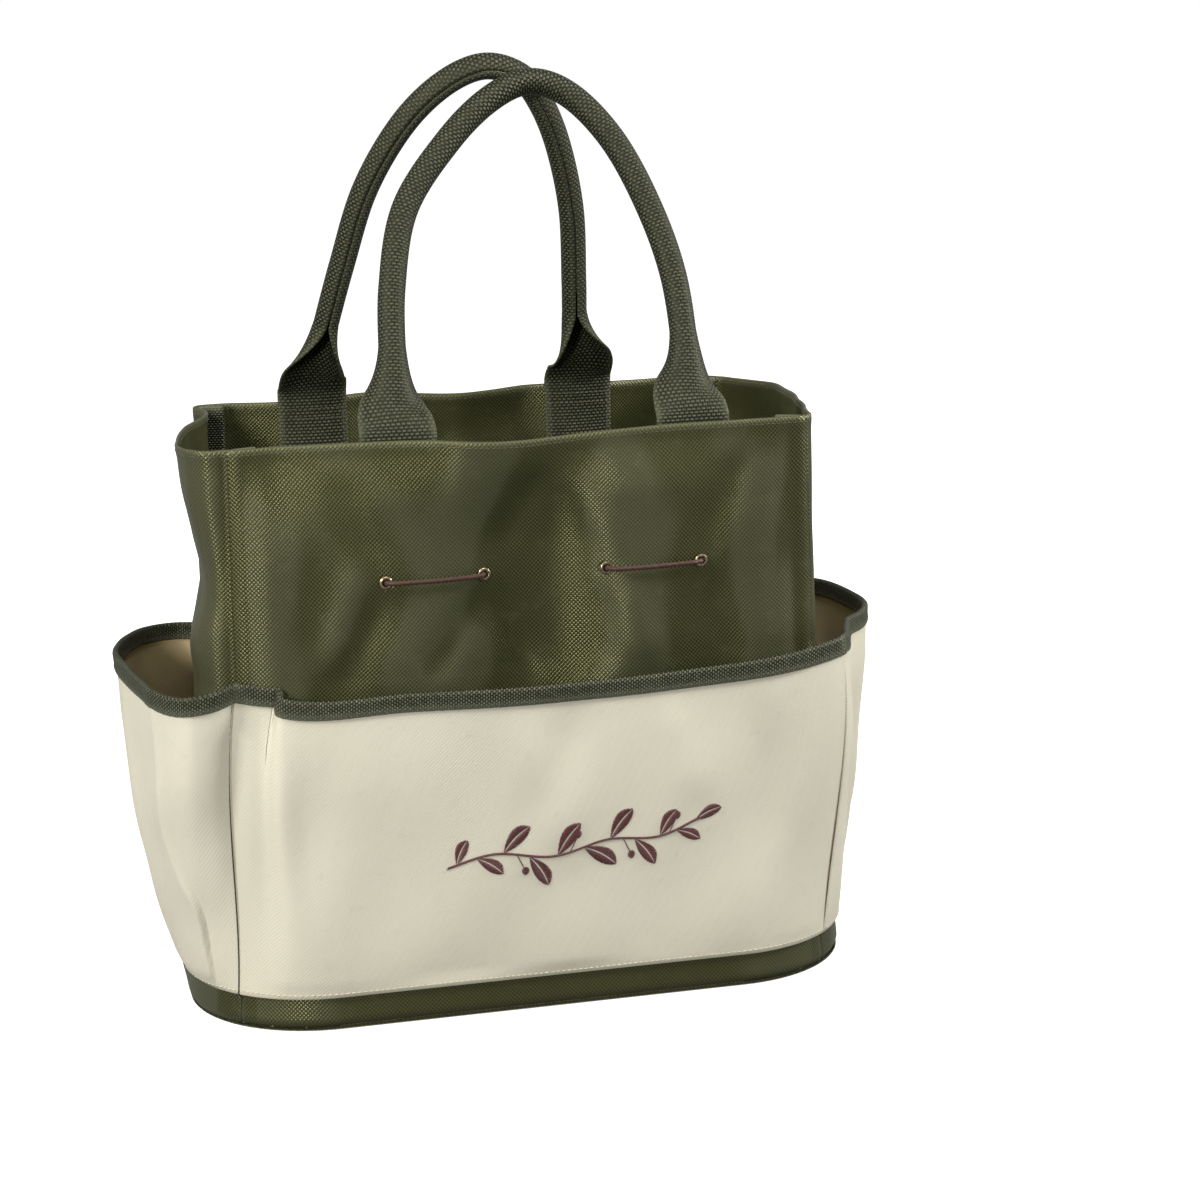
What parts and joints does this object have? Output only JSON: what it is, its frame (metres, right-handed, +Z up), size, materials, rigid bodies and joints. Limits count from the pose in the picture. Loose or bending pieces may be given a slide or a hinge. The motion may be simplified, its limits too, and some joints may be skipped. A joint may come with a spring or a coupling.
{
  "type": "garden tool bag",
  "caption": "Open-topped canvas tote with gaping bound pockets on every face, a laced front, a stiffened base and rolled webbing handles that swing at the rim.",
  "frame": {"origin": "centre of the bag's footprint, on the surface that it stands on", "axes": "+Z up, -Y the laced front, +X to the right when looking at the front"},
  "size_m": [0.4154, 0.2132, 0.4928],
  "materials": {
    "olive_canvas": "coated oxford weave with a soft sheen",
    "cream_canvas": "natural twill canvas",
    "webbing": "ribbed webbing",
    "binding": "grosgrain tape",
    "board": "stiffener board",
    "brass": "antiqued",
    "lace": "waxed round lace",
    "cord": "plain cotton cord"
  },
  "bodies": {
    "bag": {"front_panel": "olive_canvas", "rear_panel": "olive_canvas", "left_gusset": "olive_canvas", "right_gusset": "olive_canvas", "base_panel": "olive_canvas", "base_lining": "olive_canvas", "base_board": "board", "front_pocket": "cream_canvas", "rear_pocket": "cream_canvas", "left_pocket": "cream_canvas", "right_pocket": "cream_canvas", "front_pocket_binding": "binding", "rear_pocket_binding": "binding", "left_pocket_binding": "binding", "right_pocket_binding": "binding", "seam_tape_front_left": "binding", "seam_tape_front_right": "binding", "seam_tape_rear_left": "binding", "seam_tape_rear_right": "binding", "eyelet_1": "brass", "eyelet_2": "brass", "eyelet_3": "brass", "eyelet_4": "brass", "eyelet_washer_1": "brass", "eyelet_washer_2": "brass", "eyelet_washer_3": "brass", "eyelet_washer_4": "brass", "lace": "lace", "lace_knot_left": "lace", "lace_knot_right": "lace", "front_handle_tab_left": "webbing", "front_handle_tab_right": "webbing", "rear_handle_tab_left": "webbing", "rear_handle_tab_right": "webbing"},
    "front_handle": {"front_handle": "webbing", "front_handle_core": "cord"},
    "rear_handle": {"rear_handle": "webbing", "rear_handle_core": "cord"}
  },
  "joints": [
    {"name": "front_handle_swing", "type": "hinge", "parent": "bag", "child": "front_handle", "pos_m": [0.012, -0.0858, 0.312], "axis": [1, 0, 0], "range_deg": [0, 150]},
    {"name": "rear_handle_swing", "type": "hinge", "parent": "bag", "child": "rear_handle", "pos_m": [-0.008, 0.0858, 0.312], "axis": [1, 0, 0], "range_deg": [-150, 0]}
  ]
}
